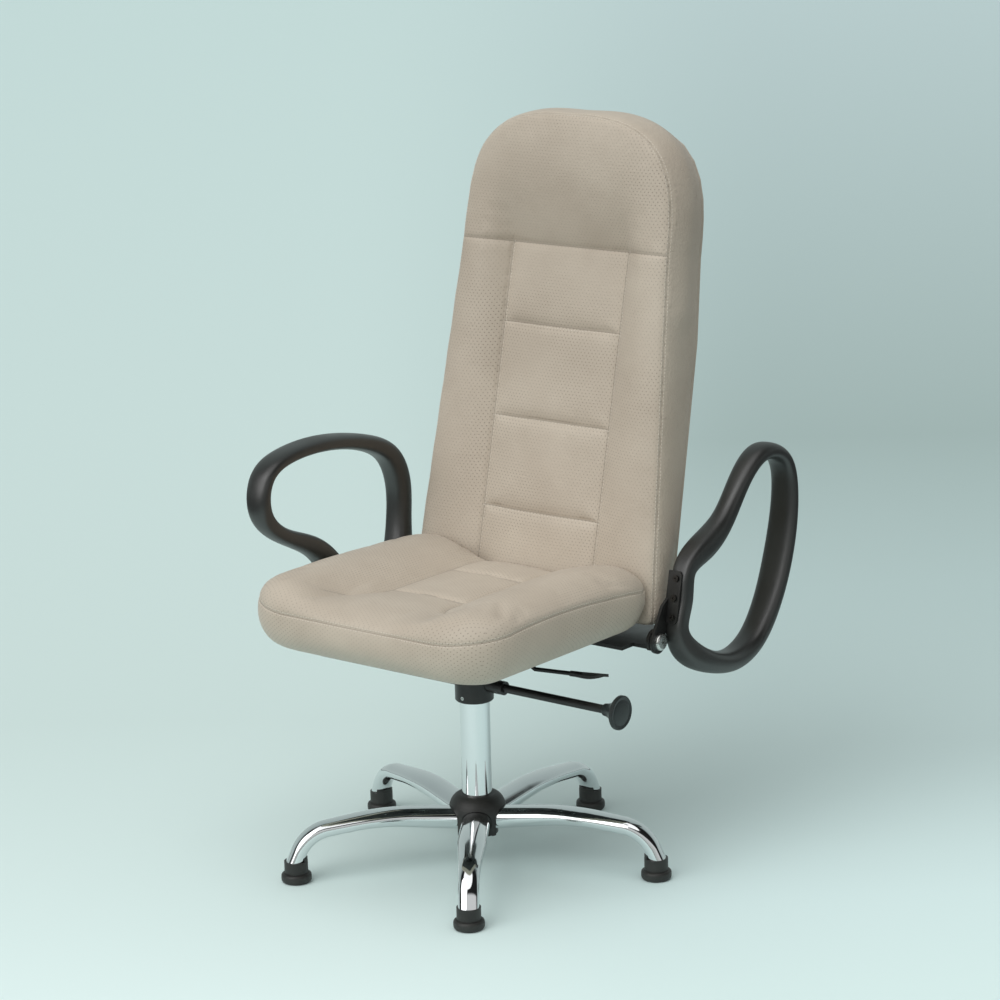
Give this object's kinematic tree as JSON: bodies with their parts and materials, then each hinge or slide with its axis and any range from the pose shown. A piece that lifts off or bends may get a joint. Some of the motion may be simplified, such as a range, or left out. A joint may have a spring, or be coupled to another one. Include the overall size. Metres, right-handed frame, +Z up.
{
  "type": "ophthalmic examination chair",
  "caption": "High-backed swivel examination chair with perforated leatherette cushions, loop armrests that fold back, a gas lift, a swivel brake and a chromed star base.",
  "frame": {"origin": "on the floor under the axis of the column, at the centre of the circle that the feet stand on", "axes": "+Z up along the column, -Y the way the sitter faces, +X the side with the release lever and the brake knob"},
  "size_m": [0.6396, 0.7916, 1.2147],
  "materials": {
    "leatherette": "soft perforated leatherette, satin",
    "chrome": "bright chrome plate on steel tube",
    "black_steel": "black powder coat, satin",
    "black_plastic": "moulded nylon, fine grain",
    "arm_foam": "integral-skin foam over a steel core, satin with fine grain",
    "knob_plastic": "dark grey moulded plastic, satin",
    "plain_steel": "zinc-plated steel",
    "washer_plastic": "natural acetal"
  },
  "bodies": {
    "base": {"base_hub": "black_steel", "hub_cover": "black_plastic", "leg_1": "chrome", "leg_2": "chrome", "leg_3": "chrome", "leg_4": "chrome", "leg_5": "chrome", "foot_1": "black_plastic", "foot_2": "black_plastic", "foot_3": "black_plastic", "foot_4": "black_plastic", "foot_5": "black_plastic", "column_tube": "chrome", "column_bush": "black_plastic", "bearing_plate": "plain_steel", "thrust_bearing": "plain_steel", "brake_collar": "black_steel", "collar_grub_screws": "plain_steel"},
    "rod": {"piston_rod": "chrome", "rod_clip": "black_steel"},
    "seat": {"gas_cylinder": "black_steel", "seat_mechanism": "black_steel", "lever_pin": "plain_steel", "cross_plate": "black_steel", "mechanism_bolts": "plain_steel", "seat_board": "black_plastic", "seat_cushion": "leatherette", "back_bar": "black_steel", "bar_bolts": "plain_steel", "rear_panel": "leatherette", "back_cushion": "leatherette", "back_bolts": "plain_steel", "stop_pins": "plain_steel", "hinge_washers": "washer_plastic", "pivot_bolt_left": "plain_steel", "pivot_bolt_right": "plain_steel"},
    "valve": {"valve_pin": "plain_steel"},
    "lever": {"release_lever": "black_steel", "lever_grip": "black_plastic"},
    "shoe": {"brake_shoe": "plain_steel"},
    "screw": {"brake_screw": "black_steel", "brake_knob": "knob_plastic"},
    "arm_left": {"arm_hinge_left": "black_steel", "armrest_left": "arm_foam", "arm_screws_left": "plain_steel"},
    "arm_right": {"arm_hinge_right": "black_steel", "armrest_right": "arm_foam", "arm_screws_right": "plain_steel"}
  },
  "joints": [
    {"name": "swivel", "type": "hinge", "parent": "base", "child": "rod", "pos_m": [0, 0, 0.06], "axis": [0, 0, 1], "continuous": true},
    {"name": "lift", "type": "slide", "parent": "rod", "child": "seat", "axis": [0, 0, 1], "range_m": [0, 0.14]},
    {"name": "lever_lift", "type": "hinge", "parent": "seat", "child": "lever", "pos_m": [0.03323, 0.00719, 0.364], "axis": [-0.2113, 0.9774, 0], "range_deg": [-4, 0]},
    {"name": "valve_press", "type": "slide", "parent": "seat", "child": "valve", "axis": [0, 0, 1], "range_m": [-0.0026, 0]},
    {"name": "brake_turn", "type": "hinge", "parent": "shoe", "child": "screw", "pos_m": [0, 0, 0.3087], "axis": [1, 0, 0], "range_deg": [-92, 362]},
    {"name": "brake_advance", "type": "slide", "parent": "base", "child": "shoe", "axis": [1, 0, 0], "range_m": [-0.0005, 0.002]},
    {"name": "left_fold", "type": "hinge", "parent": "seat", "child": "arm_left", "pos_m": [-0.273, 0.139, 0.388], "axis": [1, 0, 0], "range_deg": [-102.3, 0]},
    {"name": "right_fold", "type": "hinge", "parent": "seat", "child": "arm_right", "pos_m": [0.273, 0.139, 0.388], "axis": [1, 0, 0], "range_deg": [0, 102.3]}
  ],
  "couplings": [
    {"joint": "valve_press", "follows": "lever_lift", "m_per_rad": 0.037},
    {"joint": "brake_turn", "follows": "brake_advance", "rad_per_m": 3141.6}
  ]
}
